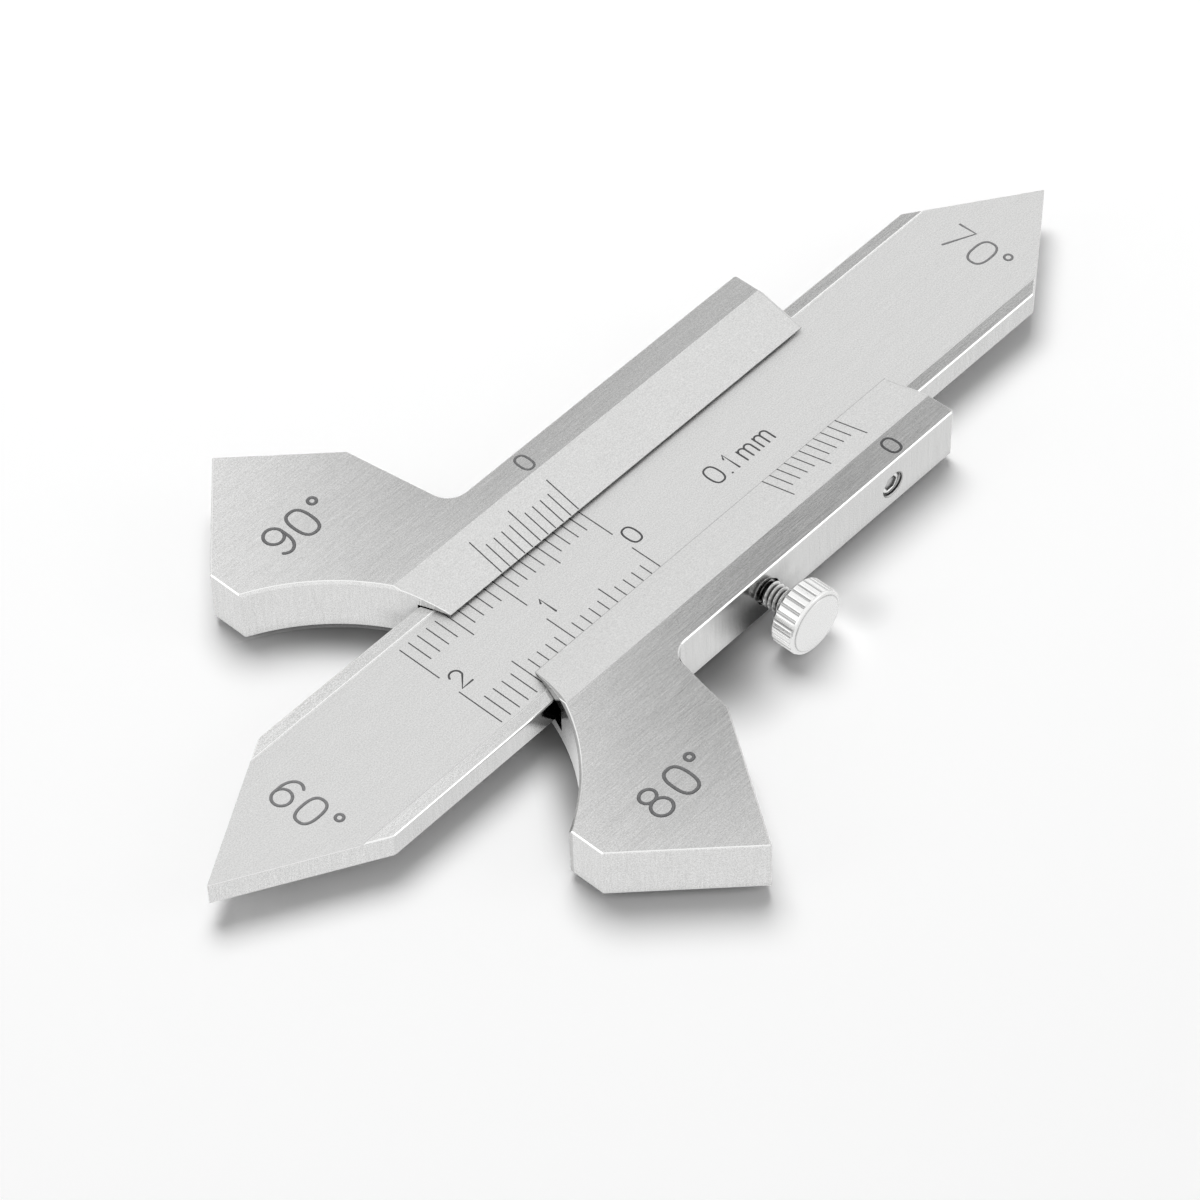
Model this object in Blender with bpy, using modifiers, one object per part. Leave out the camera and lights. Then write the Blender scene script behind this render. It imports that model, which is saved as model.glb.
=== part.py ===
import bpy
import bmesh
from math import atan2, cos, hypot, pi, radians, sin, tan
from mathutils import Matrix

MM = 0.001
OVERRUN = 2.0
MERGE_DISTANCE = 0.00001

# Every size below is in millimetres or degrees.

# Bar: the graduated blade with a test point at each end.
BAR_LENGTH = 100.0
BAR_WIDTH = 14.6
BAR_THICKNESS = 2.4
FRONT_POINT_ANGLE = 60.0
REAR_POINT_ANGLE = 70.0
SHOULDER_RADIUS = 0.6
RAIL_WIDTH = 1.3
FLAT_RECESS = 0.12

# Body: the plate that carries the bar, with a test ear on each side.
BODY_THICKNESS = 5.0
BODY_END = 73.6
SLOT_FLOOR = 1.0
SLIDE_GAP = 0.1
LEFT_WALL = 4.6
RIGHT_WALL = 3.3
CREST_WIDTH = 2.65
WINDOW_WIDTH = 8.96
LIP_EDGE = 0.12
END_CORNER_RADIUS = 0.3
EDGE_BREAK = 0.12

# Ears: their flanks point at the tip of the bar, which is the body's zero point.
FLANK_ANGLE = 45.0
FEET_FROM_ZERO = 21.0
EAR_SPAN = 60.0
LEFT_EAR_ANGLE = 90.0
LEFT_EAR_EDGE = 10.9
RIGHT_EAR_ANGLE = 80.0
RIGHT_EAR_EDGE = 13.9
NECK_FROM_ZERO = 39.2
NECK_RADIUS = 1.9
RELIEF_FROM_ZERO = 12.2
RELIEF_RADIUS = 19.7
RELIEF_CHAMFER = 0.25

# Gib: the loose strip that the two screws press against the bar.
GIB_THICKNESS = 0.7
GIB_PLAY = 0.3
GIB_START = 38.0
GIB_LENGTH = 33.0
DIMPLE_DIAMETER = 1.5
DIMPLE_DEPTH = 0.3

# Screws through the right wall.
THREAD_DIAMETER = 2.5
THREAD_GAP = 0.1
THUMB_SCREW_FROM_ZERO = 50.65
SET_SCREW_FROM_ZERO = 66.0
SCREW_TIP_GAP = 0.1
TIP_CHAMFER = 0.3
HEAD_DIAMETER = 6.0
HEAD_LENGTH = 2.5
HEAD_STANDOFF = 2.7
HEAD_CHAMFER = 0.42
HEAD_BACK_CHAMFER = 0.25
END_RIM_WIDTH = 0.2
END_GROOVE_DEPTH = 0.12
FLUTE_COUNT = 26
FLUTE_DEPTH = 0.17
FLUTE_LAND_SHARE = 0.54
FLUTE_ROOT_SHARE = 0.16
SET_SCREW_SETBACK = 0.25
SOCKET_ACROSS_FLATS = 1.3
SOCKET_DEPTH = 1.2

# Fineness of the round forms.
RELIEF_STEPS = 144
SCREW_STEPS = 40
HEAD_STEPS = 78
CROWN_STEPS = 4
FILLET_STEPS = 6

# Places that follow from the sizes above. The tip of the bar, the body's zero point, is at ZERO_X.
ZERO_X = -BAR_LENGTH / 2
SLOT_HEIGHT = BAR_THICKNESS + 2 * SLIDE_GAP
SCREW_HEIGHT = SLOT_FLOOR + SLOT_HEIGHT / 2
GROUND_LIFT = max(0.0, HEAD_DIAMETER / 2 - SCREW_HEIGHT)
BODY_TOP = GROUND_LIFT + BODY_THICKNESS
SLOT_BOTTOM = GROUND_LIFT + SLOT_FLOOR
SLOT_TOP = SLOT_BOTTOM + SLOT_HEIGHT
SCREW_Z = GROUND_LIFT + SCREW_HEIGHT
BAR_BOTTOM = SLOT_BOTTOM + SLIDE_GAP
BAR_TOP = BAR_BOTTOM + BAR_THICKNESS
SLOT_LEFT = BAR_WIDTH / 2 + SLIDE_GAP
GIB_INNER = -BAR_WIDTH / 2 - SLIDE_GAP
GIB_OUTER = GIB_INNER - GIB_THICKNESS
SLOT_RIGHT = GIB_OUTER - GIB_PLAY
BODY_LEFT = SLOT_LEFT + LEFT_WALL
BODY_RIGHT = SLOT_RIGHT - RIGHT_WALL
BODY_MIDDLE = (BODY_LEFT + BODY_RIGHT) / 2
SHANK_RADIUS = THREAD_DIAMETER / 2 - THREAD_GAP


def clear_scene():
    for old in list(bpy.data.objects):
        bpy.data.objects.remove(old, do_unlink=True)


def make_collection(name):
    group = bpy.data.collections.new(name)
    bpy.context.scene.collection.children.link(group)
    return group


def make_material(name, colour, roughness):
    material = bpy.data.materials.new(name)
    material.use_nodes = True
    shader = material.node_tree.nodes["Principled BSDF"]
    shader.inputs["Base Color"].default_value = (*colour, 1.0)
    shader.inputs["Roughness"].default_value = roughness
    shader.inputs["Metallic"].default_value = 1.0
    return material


def place(thing, group, material=None):
    for old_group in list(thing.users_collection):
        old_group.objects.unlink(thing)
    group.objects.link(thing)
    if material:
        thing.data.materials.append(material)


def hide_as_cutter(thing):
    place(thing, cutters)
    thing.hide_render = True
    thing.display_type = "WIRE"
    return thing


def cut(target, tool, operation="DIFFERENCE"):
    boolean = target.modifiers.new(tool.name, "BOOLEAN")
    boolean.operation = operation
    boolean.object = tool


# A small chamfer round the outlines of a plate's two faces; the upright corners stay sharp.
def break_edges(thing):
    weights = thing.data.attributes.new("bevel_weight_edge", "FLOAT", "EDGE")
    vertices = thing.data.vertices
    for edge, weight in zip(thing.data.edges, weights.data):
        low, high = (vertices[index].co.z for index in edge.vertices)
        weight.value = 1.0 if abs(high - low) < MERGE_DISTANCE else 0.0
    bevel = thing.modifiers.new("edge_break", "BEVEL")
    bevel.width = EDGE_BREAK * MM
    bevel.segments = 1
    bevel.limit_method = "WEIGHT"


def shade_round(thing):
    thing.data.shade_smooth()
    thing.data.set_sharp_from_angle(angle=radians(30))


# Points of an outline whose corners are given as (x, y, radius), with each fillet as an arc.
def filleted(corners):
    points = []
    for index, (x, y, radius) in enumerate(corners):
        if radius == 0:
            points.append((x, y))
            continue
        before = corners[index - 1]
        after = corners[(index + 1) % len(corners)]
        back = atan2(before[1] - y, before[0] - x)
        ahead = atan2(after[1] - y, after[0] - x)
        turn = (ahead - back + pi) % (2 * pi) - pi
        reach = radius / tan(abs(turn) / 2)
        to_centre = hypot(radius, reach)
        middle = back + turn / 2
        centre_x = x + to_centre * cos(middle)
        centre_y = y + to_centre * sin(middle)
        sweep = pi - abs(turn)
        side = 1 if turn > 0 else -1
        for step in range(FILLET_STEPS + 1):
            angle = middle + pi + side * sweep * (0.5 - step / FILLET_STEPS)
            points.append((centre_x + radius * cos(angle), centre_y + radius * sin(angle)))
    return points


# A closed 2D outline, filled and given a thickness about its own plane, as a welded mesh.
def extruded(name, points, thickness, location, rotation=(0, 0, 0)):
    curve = bpy.data.curves.new(name, "CURVE")
    curve.dimensions = "2D"
    curve.fill_mode = "BOTH"
    curve.extrude = thickness / 2 * MM
    spline = curve.splines.new("POLY")
    spline.points.add(len(points) - 1)
    for point, (x, y) in zip(spline.points, points):
        point.co = (x * MM, y * MM, 0, 1)
    spline.use_cyclic_u = True
    drawn = bpy.data.objects.new(name + "_outline", curve)
    drawn.location = [value * MM for value in location]
    drawn.rotation_euler = rotation
    place(drawn, cutters)
    bpy.context.view_layer.update()
    mesh = bpy.data.meshes.new_from_object(drawn.evaluated_get(bpy.context.evaluated_depsgraph_get()))
    mesh.name = name
    shell = bmesh.new()
    shell.from_mesh(mesh)
    bmesh.ops.remove_doubles(shell, verts=shell.verts, dist=MERGE_DISTANCE)
    bmesh.ops.dissolve_limit(shell, angle_limit=radians(0.1), verts=shell.verts, edges=shell.edges)
    shell.to_mesh(mesh)
    shell.free()
    solid = bpy.data.objects.new(name, mesh)
    solid.matrix_world = drawn.matrix_world
    bpy.data.objects.remove(drawn)
    return solid


# A flat plate lying in XY between two heights.
def plate(name, points, low, high):
    return extruded(name, points, high - low, (0, 0, (low + high) / 2))


# A prism along X whose section is given as (y, z) points.
def prism_along_x(name, section, start, end):
    return extruded(name, section, end - start, ((start + end) / 2, 0, 0), (pi / 2, 0, pi / 2))


# A turned solid from (radius, height) points that run from its top, down its side, to its foot.
def turned(name, profile, steps):
    mesh = bpy.data.meshes.new(name)
    vertices = [(radius * MM, 0, height * MM) for radius, height in profile]
    mesh.from_pydata(vertices, [(i, i + 1) for i in range(len(vertices) - 1)], [])
    solid = bpy.data.objects.new(name, mesh)
    screw = solid.modifiers.new("turn", "SCREW")
    screw.axis = "Z"
    screw.steps = steps
    screw.render_steps = steps
    screw.use_merge_vertices = True
    screw.merge_threshold = MERGE_DISTANCE
    return solid


# Screws lie along Y: their local +Z points out of the right wall, so a height of 0 is the body's axis.
def point_out_of_right_wall(thing, from_zero):
    thing.location = ((ZERO_X + from_zero) * MM, 0, SCREW_Z * MM)
    thing.rotation_euler = (pi / 2, 0, 0)


def build_bar():
    half = BAR_WIDTH / 2
    front_shoulder = ZERO_X + half / tan(radians(FRONT_POINT_ANGLE / 2))
    rear_tip = ZERO_X + BAR_LENGTH
    rear_shoulder = rear_tip - half / tan(radians(REAR_POINT_ANGLE / 2))
    outline = filleted([
        (ZERO_X, 0, 0),
        (front_shoulder, -half, SHOULDER_RADIUS),
        (rear_shoulder, -half, SHOULDER_RADIUS),
        (rear_tip, 0, 0),
        (rear_shoulder, half, SHOULDER_RADIUS),
        (front_shoulder, half, SHOULDER_RADIUS),
    ])
    bar = plate("gauge_bar", outline, BAR_BOTTOM, BAR_TOP)
    break_edges(bar)
    place(bar, parts, make_material("satin_bar_steel", (0.72, 0.72, 0.72), 0.38))

    flat_half = half - RAIL_WIDTH
    flat = BAR_TOP - FLAT_RECESS
    above = BAR_TOP + OVERRUN
    flare = above - flat
    recess = prism_along_x("flat_recess", [
        (-flat_half, flat),
        (flat_half, flat),
        (flat_half + flare, above),
        (-flat_half - flare, above),
    ], ZERO_X - OVERRUN, rear_tip + OVERRUN)
    cut(bar, hide_as_cutter(recess))
    return bar


# The far corner of an ear, reached from its outer corner along the edge at the ear's own angle.
def ear_edge_end(corner_x, corner_y, side, ear_angle, edge_length):
    heading = pi + radians(FLANK_ANGLE + ear_angle)
    return corner_x + edge_length * cos(heading), corner_y + side * edge_length * sin(heading)


def body_outline():
    feet = ZERO_X + FEET_FROM_ZERO
    foot_corner = FEET_FROM_ZERO * tan(radians(FLANK_ANGLE))
    half_span = EAR_SPAN / 2
    outer = ZERO_X + half_span / tan(radians(FLANK_ANGLE))
    neck = ZERO_X + NECK_FROM_ZERO
    end = ZERO_X + BODY_END
    left_tip = ear_edge_end(outer, half_span, 1, LEFT_EAR_ANGLE, LEFT_EAR_EDGE)
    right_tip = ear_edge_end(outer, -half_span, -1, RIGHT_EAR_ANGLE, RIGHT_EAR_EDGE)
    return filleted([
        (feet, foot_corner, 0),
        (feet, -foot_corner, 0),
        (outer, -half_span, 0),
        (*right_tip, 0),
        (neck, BODY_RIGHT, NECK_RADIUS),
        (end, BODY_RIGHT, END_CORNER_RADIUS),
        (end, BODY_LEFT, END_CORNER_RADIUS),
        (neck, BODY_LEFT, NECK_RADIUS),
        (*left_tip, 0),
        (outer, half_span, 0),
    ])


# The slot for the bar and gib, the window above it, and the slope of the lips up to the crests.
def channel_section():
    half_window = WINDOW_WIDTH / 2
    half_crests = (BODY_LEFT - BODY_RIGHT) / 2 - CREST_WIDTH
    lip_top = SLOT_TOP + LIP_EDGE
    above = BODY_TOP + OVERRUN
    half_above = half_window + (half_crests - half_window) * (above - lip_top) / (BODY_TOP - lip_top)
    return [
        (SLOT_RIGHT, SLOT_BOTTOM),
        (SLOT_LEFT, SLOT_BOTTOM),
        (SLOT_LEFT, SLOT_TOP),
        (BODY_MIDDLE + half_window, SLOT_TOP),
        (BODY_MIDDLE + half_window, lip_top),
        (BODY_MIDDLE + half_above, above),
        (BODY_MIDDLE - half_above, above),
        (BODY_MIDDLE - half_window, lip_top),
        (BODY_MIDDLE - half_window, SLOT_TOP),
        (SLOT_RIGHT, SLOT_TOP),
    ]


def build_body():
    body = plate("slider_body", body_outline(), GROUND_LIFT, BODY_TOP)
    break_edges(body)
    place(body, parts, make_material("ground_body_steel", (0.66, 0.66, 0.66), 0.32))

    channel = prism_along_x("channel", channel_section(), ZERO_X, ZERO_X + BODY_END + OVERRUN)
    cut(body, hide_as_cutter(channel))

    relief_low = GROUND_LIFT - OVERRUN
    relief_high = BODY_TOP + OVERRUN
    relief = turned("relief_between_feet", [
        (0, relief_high),
        (RELIEF_RADIUS + RELIEF_CHAMFER + OVERRUN, relief_high),
        (RELIEF_RADIUS, BODY_TOP - RELIEF_CHAMFER),
        (RELIEF_RADIUS, relief_low),
        (0, relief_low),
    ], RELIEF_STEPS)
    relief.location = ((ZERO_X + RELIEF_FROM_ZERO) * MM, 0, 0)
    cut(body, hide_as_cutter(relief))

    for name, from_zero in (("thumb_screw_hole", THUMB_SCREW_FROM_ZERO), ("set_screw_hole", SET_SCREW_FROM_ZERO)):
        hole_top = -BODY_RIGHT + OVERRUN
        hole_foot = -SLOT_RIGHT - GIB_PLAY / 2
        hole = turned(name, [
            (0, hole_top),
            (THREAD_DIAMETER / 2, hole_top),
            (THREAD_DIAMETER / 2, hole_foot),
            (0, hole_foot),
        ], SCREW_STEPS)
        point_out_of_right_wall(hole, from_zero)
        cut(body, hide_as_cutter(hole))
    return body


def build_gib():
    height = SLOT_HEIGHT - 2 * SLIDE_GAP
    bpy.ops.mesh.primitive_cube_add(size=1)
    gib = bpy.context.object
    gib.name = "gib_strip"
    gib.data.transform(Matrix.Diagonal((GIB_LENGTH * MM, GIB_THICKNESS * MM, height * MM, 1)))
    gib.location = (
        (ZERO_X + GIB_START + GIB_LENGTH / 2) * MM,
        (GIB_INNER + GIB_OUTER) / 2 * MM,
        SCREW_Z * MM,
    )
    break_edges(gib)
    place(gib, parts, make_material("spring_steel", (0.55, 0.55, 0.56), 0.35))

    dimple = turned("gib_dimple", [
        (0, -GIB_OUTER + OVERRUN),
        (DIMPLE_DIAMETER / 2 + OVERRUN * DIMPLE_DIAMETER / 2 / DIMPLE_DEPTH, -GIB_OUTER + OVERRUN),
        (0, -GIB_OUTER - DIMPLE_DEPTH),
    ], SCREW_STEPS)
    point_out_of_right_wall(dimple, SET_SCREW_FROM_ZERO)
    cut(gib, hide_as_cutter(dimple))
    return gib


# The outline of the knurled head: broad lands with a narrow groove between each pair.
def fluted_outline():
    land = HEAD_DIAMETER / 2
    root = land - FLUTE_DEPTH
    pitch = 2 * pi / FLUTE_COUNT
    half_land = FLUTE_LAND_SHARE / 2
    half_root = FLUTE_ROOT_SHARE / 2
    stations = ((-half_land, land), (half_land, land), (0.5 - half_root, root), (0.5 + half_root, root))
    points = []
    for flute in range(FLUTE_COUNT):
        for share, radius in stations:
            angle = (flute + share) * pitch - pi / 2
            points.append((radius * cos(angle), radius * sin(angle)))
    return points


# The crown of the head's end face falls as a parabola from its middle to the groove inside the rim.
def crown_profile(radius, height):
    shares = [step / CROWN_STEPS for step in range(CROWN_STEPS + 1)]
    return [(radius * share, height - END_GROOVE_DEPTH * share ** 2) for share in shares]


def build_thumb_screw():
    tip = -GIB_OUTER + SCREW_TIP_GAP
    head_back = -BODY_RIGHT + HEAD_STANDOFF
    head_end = head_back + HEAD_LENGTH
    land = HEAD_DIAMETER / 2
    spare = FLUTE_DEPTH
    rim = land - HEAD_CHAMFER
    screw = turned("thumb_screw", [
        *crown_profile(rim - END_RIM_WIDTH, head_end),
        (rim - END_RIM_WIDTH / 2, head_end),
        (rim, head_end),
        (land + spare, head_end - HEAD_CHAMFER - spare),
        (land + spare, head_back + HEAD_BACK_CHAMFER + spare),
        (land - HEAD_BACK_CHAMFER, head_back),
        (SHANK_RADIUS, head_back),
        (SHANK_RADIUS, tip + TIP_CHAMFER),
        (SHANK_RADIUS - TIP_CHAMFER, tip),
        (0, tip),
    ], HEAD_STEPS)
    point_out_of_right_wall(screw, THUMB_SCREW_FROM_ZERO)
    shade_round(screw)
    place(screw, parts, make_material("plated_screw_steel", (0.8, 0.8, 0.8), 0.2))

    blank_length = head_end - tip + 2 * OVERRUN
    knurl = extruded("knurl", fluted_outline(), blank_length, (0, 0, 0))
    knurl.data.transform(Matrix.Translation((0, 0, (head_end + tip) / 2 * MM)))
    point_out_of_right_wall(knurl, THUMB_SCREW_FROM_ZERO)
    cut(screw, hide_as_cutter(knurl), "INTERSECT")
    return screw


def build_set_screw():
    seat = -GIB_OUTER - DIMPLE_DEPTH + SCREW_TIP_GAP
    end = -BODY_RIGHT - SET_SCREW_SETBACK
    cone = DIMPLE_DIAMETER / 2
    slope = DIMPLE_DEPTH / cone
    screw = turned("gib_set_screw", [
        (0, end),
        (SHANK_RADIUS - EDGE_BREAK, end),
        (SHANK_RADIUS, end - EDGE_BREAK),
        (SHANK_RADIUS, seat + SHANK_RADIUS * slope + SCREW_TIP_GAP),
        (cone, seat + cone * slope),
        (0, seat),
    ], SCREW_STEPS)
    point_out_of_right_wall(screw, SET_SCREW_FROM_ZERO)
    shade_round(screw)
    place(screw, parts, make_material("bright_set_screw", (0.62, 0.62, 0.62), 0.25))

    across_corners = SOCKET_ACROSS_FLATS / cos(radians(30))
    floor = end - SOCKET_DEPTH
    socket = turned("hex_socket", [
        (0, end + OVERRUN),
        (across_corners / 2, end + OVERRUN),
        (across_corners / 2, floor),
        (0, floor),
    ], 6)
    point_out_of_right_wall(socket, SET_SCREW_FROM_ZERO)
    cut(screw, hide_as_cutter(socket))
    return screw


clear_scene()
parts = make_collection("weld_gauge")
cutters = make_collection("cutters")
build_body()
build_bar()
build_gib()
build_thumb_screw()
build_set_screw()
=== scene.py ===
from math import cos, pi, radians, sin, tan

import bmesh
import bpy
from mathutils import Euler, Matrix, Vector


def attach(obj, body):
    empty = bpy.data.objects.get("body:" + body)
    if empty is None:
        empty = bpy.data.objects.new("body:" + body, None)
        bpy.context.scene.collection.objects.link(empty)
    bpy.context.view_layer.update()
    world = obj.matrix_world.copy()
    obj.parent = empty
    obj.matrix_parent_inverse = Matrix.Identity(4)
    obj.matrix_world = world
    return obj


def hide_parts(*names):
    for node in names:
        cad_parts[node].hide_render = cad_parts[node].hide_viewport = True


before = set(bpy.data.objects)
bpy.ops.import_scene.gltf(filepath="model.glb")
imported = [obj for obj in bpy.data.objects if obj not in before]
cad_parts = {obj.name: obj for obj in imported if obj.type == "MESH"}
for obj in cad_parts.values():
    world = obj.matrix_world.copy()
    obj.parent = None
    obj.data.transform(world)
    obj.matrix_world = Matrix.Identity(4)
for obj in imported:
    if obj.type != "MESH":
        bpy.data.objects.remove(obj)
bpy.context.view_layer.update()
mm = 0.001
weldDistance = 0.002 * mm

# sizes in millimetres that finishes, marks and scales share
plateForm = {
    "top": 5.7,
    "leftLip": 4.63,
    "rightLip": -4.33,
    "lipLow": 4.42,
    "lipSlope": 15.2,
    "lipFrontReach": 4.8,
    "reliefX": -37.8,
}

bladeForm = {
    "scaleFace": 4.08,
    "rail": 4.2,
    "step": 6.02,
    "satinFrom": 4.0,
    "satinHalf": 6.09,
    "stepStart": (5.90, 5.95),
}


def mmVector(x, y, z):
    return Vector((x * mm, y * mm, z * mm))


def inMm(values):
    return [value * mm for value in values]


def addObject(name, mesh):
    thing = bpy.data.objects.new(name, mesh)
    bpy.context.scene.collection.objects.link(thing)
    return thing


def cleanNormals(mesh):
    shell = bmesh.new()
    shell.from_mesh(mesh)
    bmesh.ops.remove_doubles(shell, verts=shell.verts, dist=weldDistance)
    bmesh.ops.recalc_face_normals(shell, faces=shell.faces)
    shell.to_mesh(mesh)
    shell.free()


def smoothBelow(mesh, angle):
    mesh.shade_smooth()
    mesh.set_sharp_from_angle(angle=radians(angle))


# the CAD node's mesh as larger flat faces, ready for a fine rounding of its edges
def finishedCopy(nodeName, name, rounding):
    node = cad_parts[nodeName]
    mesh = node.data.copy()
    mesh.materials.clear()
    shell = bmesh.new()
    shell.from_mesh(mesh)
    bmesh.ops.remove_doubles(shell, verts=shell.verts, dist=weldDistance)
    bmesh.ops.dissolve_limit(shell, angle_limit=radians(0.4), verts=shell.verts, edges=shell.edges)
    bmesh.ops.recalc_face_normals(shell, faces=shell.faces)
    shell.edges.index_update()
    # a level face keeps a level shading up to its border
    borders = [edge.index for edge in shell.edges
               if any(abs(face.normal.z) > 0.9999 for face in edge.link_faces)
               and edge.calc_face_angle(0) > radians(8)]
    shell.to_mesh(mesh)
    shell.free()
    if "custom_normal" in mesh.attributes:
        mesh.attributes.remove(mesh.attributes["custom_normal"])
    piece = addObject(name, mesh)
    mesh.shade_smooth()
    for edge in borders:
        mesh.edges[edge].use_edge_sharp = True
    bevel = piece.modifiers.new("edgeRounding", "BEVEL")
    bevel.width = rounding * mm
    bevel.segments = 2
    bevel.limit_method = "ANGLE"
    bevel.angle_limit = radians(22)
    bevel.harden_normals = True
    bevel.miter_outer = "MITER_ARC"
    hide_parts(nodeName)
    return piece


def newTree(name, sockets):
    tree = bpy.data.node_groups.new(name, "GeometryNodeTree")
    ids = {}
    tree.interface.new_socket(name="Geometry", in_out="OUTPUT", socket_type="NodeSocketGeometry")
    for label, kind in sockets:
        ids[label] = tree.interface.new_socket(name=label, in_out="INPUT", socket_type=kind).identifier
    return tree, ids


def addNode(tree, kind, links=None, **settings):
    node = tree.nodes.new(kind)
    for key, value in settings.items():
        setattr(node, key, value)
    for key, source in (links or {}).items():
        if isinstance(source, bpy.types.NodeSocket):
            tree.links.new(source, node.inputs[key])
        else:
            node.inputs[key].default_value = source
    return node


def mathOf(tree, operation, *values):
    return addNode(tree, "ShaderNodeMath", dict(enumerate(values)), operation=operation).outputs[0]


def vectorOf(tree, x, y, z):
    return addNode(tree, "ShaderNodeCombineXYZ", {0: x, 1: y, 2: z}).outputs[0]


def splitOf(tree, vector):
    return addNode(tree, "ShaderNodeSeparateXYZ", {0: vector}).outputs


def product(tree, first, *others):
    for other in others:
        first = mathOf(tree, "MULTIPLY", first, other)
    return first


def below(tree, value, limit):
    return mathOf(tree, "LESS_THAN", value, limit)


def above(tree, value, limit):
    return mathOf(tree, "GREATER_THAN", value, limit)


def distanceTo(tree, place, x, y):
    spot = {0: place, 1: mmVector(x, y, 0)}
    return addNode(tree, "ShaderNodeVectorMath", spot, operation="DISTANCE").outputs["Value"]


def scaled(tree, colour, factor):
    return addNode(tree, "ShaderNodeVectorMath", {0: colour, "Scale": factor}, operation="SCALE").outputs[0]


def finishTree(tree, geometry, finish, result):
    solid = addNode(tree, "GeometryNodeRealizeInstances", {"Geometry": geometry})
    painted = addNode(tree, "GeometryNodeSetMaterial", {"Geometry": solid.outputs[0], "Material": finish})
    tree.links.new(painted.outputs[0], result.inputs[0])


# a host with the tree as its modifier is evaluated to a plain mesh, and the host goes
def grown(name, tree, ids, values, hostMesh=None):
    host = addObject(name + "Host", hostMesh or bpy.data.meshes.new(name + "Host"))
    rule = host.modifiers.new(tree.name, "NODES")
    rule.node_group = tree
    for label, value in values.items():
        rule[ids[label]] = value
    bpy.context.view_layer.update()
    evaluated = host.evaluated_get(bpy.context.evaluated_depsgraph_get())
    mesh = bpy.data.meshes.new_from_object(evaluated)
    mesh.name = name
    mesh.materials.clear()
    mesh.materials.append(values["Finish"])
    for face in mesh.polygons:
        face.material_index = 0
    host.modifiers.remove(rule)
    bpy.data.objects.remove(host)
    return mesh


def joined(name, meshes):
    shell = bmesh.new()
    whole = bpy.data.meshes.new(name)
    for mesh in meshes:
        already = len(shell.faces)
        slots = []
        for material in mesh.materials:
            if material.name not in whole.materials:
                whole.materials.append(material)
            slots.append(whole.materials.find(material.name))
        shell.from_mesh(mesh)
        shell.faces.ensure_lookup_table()
        for face in shell.faces[already:]:
            face.material_index = slots[face.material_index]
    shell.to_mesh(whole)
    shell.free()
    return addObject(name, whole)


def newFinish(name, colour, roughness, metallic=1.0):
    material = bpy.data.materials.new(name)
    material.use_nodes = True
    tree = material.node_tree
    shader = tree.nodes["Principled BSDF"]
    shader.inputs["Base Color"].default_value = (*colour, 1)
    shader.inputs["Metallic"].default_value = metallic
    shader.inputs["Roughness"].default_value = roughness
    return material, tree, shader


# fine lines of a grinding belt: noise drawn out to streaks of that length and width in millimetres
def streaks(tree, place, length, width, turn, along="X"):
    size = {"X": (length, width, width), "Z": (width, width, length)}[along]
    axis = {"X": (0, 0, radians(turn)), "Z": (0, radians(turn), 0)}[along]
    mapping = addNode(tree, "ShaderNodeMapping", {"Vector": place}, vector_type="TEXTURE")
    mapping.inputs["Rotation"].default_value = axis
    mapping.inputs["Scale"].default_value = inMm(size)
    noise = {"Vector": mapping.outputs[0], "Scale": 1.0, "Detail": 2.0, "Roughness": 0.55}
    return addNode(tree, "ShaderNodeTexNoise", noise).outputs["Fac"]


# an even grain of spots of that size in millimetres
def speckle(tree, place, size):
    noise = {"Vector": place, "Scale": 1 / (size * mm), "Detail": 2.0}
    return addNode(tree, "ShaderNodeTexNoise", noise).outputs["Fac"]


def ranged(tree, value, low, high, start=0.3, end=0.7):
    ramp = {"Value": value, "From Min": start, "From Max": end, "To Min": low, "To Max": high}
    return addNode(tree, "ShaderNodeMapRange", ramp).outputs[0]


def softStep(tree, value, start, end, low=0.0, high=1.0):
    ramp = {"Value": value, "From Min": start, "From Max": end, "To Min": low, "To Max": high}
    return addNode(tree, "ShaderNodeMapRange", ramp, interpolation_type="SMOOTHSTEP").outputs[0]


def toneMix(tree, factor, dark, light):
    mix = addNode(tree, "ShaderNodeMix", {"Factor": factor}, data_type="RGBA")
    mix.inputs[6].default_value = (*dark, 1)
    mix.inputs[7].default_value = (*light, 1)
    return mix.outputs[2]


def mixed(tree, factor, first, second):
    values = {"Factor": factor, 2: first, 3: second}
    return addNode(tree, "ShaderNodeMix", values, data_type="FLOAT").outputs[0]


groundFinish = {
    "dark": (0.56, 0.56, 0.555),
    "light": (0.94, 0.94, 0.935),
    "roughness": (0.12, 0.16),
    "faceStreak": (2.2, 0.045),
    "sideStreak": (2.4, 0.06),
    "sideContrast": 0.85,
    "crossing": 4.0,
    "grain": 0.09,
    "bumpHeight": 0.00007,
    # the tone of the painted highlight on the chamfers
    "edge": (0.93, 0.93, 0.925),
    # painted shade on walls that face towards -y
    "paintedShadeTurnedAway": 0.91,
    "reachOfShade": 3.5,
}

satinFinish = {
    "dark": (0.60, 0.60, 0.595),
    "light": (0.85, 0.85, 0.845),
    "roughness": (0.46, 0.54),
    "grain": 0.11,
    "bumpHeight": 0.0003,
}
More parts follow.
